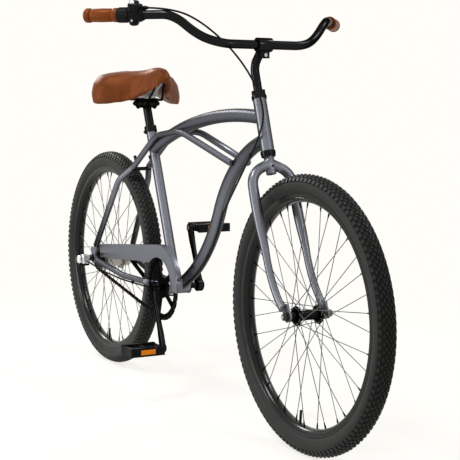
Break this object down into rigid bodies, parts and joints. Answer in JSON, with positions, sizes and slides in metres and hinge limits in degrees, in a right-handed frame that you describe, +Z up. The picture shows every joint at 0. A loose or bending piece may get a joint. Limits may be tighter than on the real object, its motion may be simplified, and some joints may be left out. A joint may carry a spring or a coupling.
{
  "type": "beach cruiser bicycle",
  "caption": "Beach cruiser bicycle with a curved tube frame, balloon tyres, swept handlebar, wide padded saddle, chain guard and a twist-shift coaster hub.",
  "frame": {"origin": "on the ground, midway between the two axles, in the frame's middle plane", "axes": "+X forward, +Y to the rider's left, +Z up"},
  "size_m": [1.811, 0.764, 1.0635],
  "materials": {
    "frame_paint": "satin metallic",
    "black_paint": "satin",
    "steel": "dull",
    "tyre": "matte",
    "black_rubber": "matte",
    "tan_grip": "matte",
    "tan_leather": "satin",
    "black_plastic": "matte",
    "grey_plastic": "matte",
    "silver_plastic": "satin",
    "reflector": "gloss"
  },
  "bodies": {
    "frame": {"head_tube": "frame_paint", "top_tube": "frame_paint", "down_tube": "frame_paint", "seat_tube": "frame_paint", "bottom_bracket_shell": "frame_paint", "stay_tubes": "frame_paint", "chainstays": "frame_paint", "dropouts": "frame_paint", "stay_bridges": "black_paint", "rack_bosses": "black_paint", "bearing_cups": "black_paint", "chain_guard": "frame_paint", "guard_brackets": "black_paint", "seat_collar": "black_paint", "frame_bolts": "steel", "rear_axle": "steel", "rear_axle_nuts": "steel", "brake_arm": "black_paint", "brake_strap": "black_paint", "shift_box": "silver_plastic", "cable_lower": "black_rubber", "cable_clips": "black_plastic", "chain": "steel"},
    "steering": {"fork": "frame_paint", "headset_nuts": "black_paint", "stem": "black_paint", "stem_bolts": "steel", "handlebar": "black_paint", "grips": "tan_grip", "shifter_body": "black_plastic", "front_axle": "steel", "front_axle_nuts": "steel", "cable_upper": "black_rubber"},
    "twist_ring": {"twist_ring": "black_plastic"},
    "front_wheel": {"front_tyre": "tyre", "front_rim": "black_paint", "front_spokes": "steel", "front_hub": "black_paint", "front_valve": "black_rubber"},
    "rear_wheel": {"rear_tyre": "tyre", "rear_rim": "black_paint", "rear_spokes": "steel", "rear_hub": "black_paint", "rear_valve": "black_rubber"},
    "rear_sprocket": {"rear_sprocket": "black_paint"},
    "crankset": {"crank_spindle": "steel", "right_crank": "black_paint", "left_crank": "black_paint", "chainring": "black_paint", "crank_bolts": "steel", "pedal_axles": "steel"},
    "right_pedal": {"right_pedal": "black_plastic", "right_reflectors": "reflector"},
    "left_pedal": {"left_pedal": "black_plastic", "left_reflectors": "reflector"},
    "seat_post": {"seat_post": "black_paint"},
    "saddle": {"saddle_clamp": "black_paint", "saddle_rails": "black_paint", "saddle_pan": "grey_plastic", "saddle_cover": "tan_leather"}
  },
  "joints": [
    {"name": "steering_turn", "type": "hinge", "parent": "frame", "child": "steering", "pos_m": [0.36139, 0, 0.76797], "axis": [-0.3256, 0, 0.9455], "range_deg": [-60, 60], "deforming": ["cable_upper"]},
    {"name": "front_wheel_spin", "type": "hinge", "parent": "steering", "child": "front_wheel", "pos_m": [0.5725, 0, 0.333], "axis": [0, 1, 0], "continuous": true},
    {"name": "rear_wheel_spin", "type": "hinge", "parent": "frame", "child": "rear_wheel", "pos_m": [-0.5725, 0, 0.333], "axis": [0, 1, 0], "continuous": true},
    {"name": "crank_spin", "type": "hinge", "parent": "frame", "child": "crankset", "pos_m": [-0.11498, 0, 0.303], "axis": [0, 1, 0], "continuous": true, "deforming": ["chain"]},
    {"name": "sprocket_spin", "type": "hinge", "parent": "frame", "child": "rear_sprocket", "pos_m": [-0.5725, 0, 0.333], "axis": [0, 1, 0], "continuous": true},
    {"name": "right_pedal_spin", "type": "hinge", "parent": "crankset", "child": "right_pedal", "pos_m": [-0.05406, 0, 0.14429], "axis": [0, 1, 0], "continuous": true},
    {"name": "left_pedal_spin", "type": "hinge", "parent": "crankset", "child": "left_pedal", "pos_m": [-0.17591, 0, 0.46171], "axis": [0, 1, 0], "continuous": true},
    {"name": "shift_twist", "type": "hinge", "parent": "steering", "child": "twist_ring", "pos_m": [0.19165, -0.30295, 1.03953], "axis": [-0.7829, -0.6221, 0.0021], "range_deg": [-35, 35]},
    {"name": "seat_height", "type": "slide", "parent": "frame", "child": "seat_post", "axis": [-0.3746, 0, 0.9272], "range_m": [-0.035, 0.12]},
    {"name": "saddle_tilt", "type": "hinge", "parent": "seat_post", "child": "saddle", "pos_m": [-0.32326, 0, 0.81851], "axis": [0, 1, 0], "range_deg": [-15, 15]}
  ],
  "couplings": [
    {"joint": "sprocket_spin", "follows": "crank_spin", "ratio": 2.4444}
  ]
}
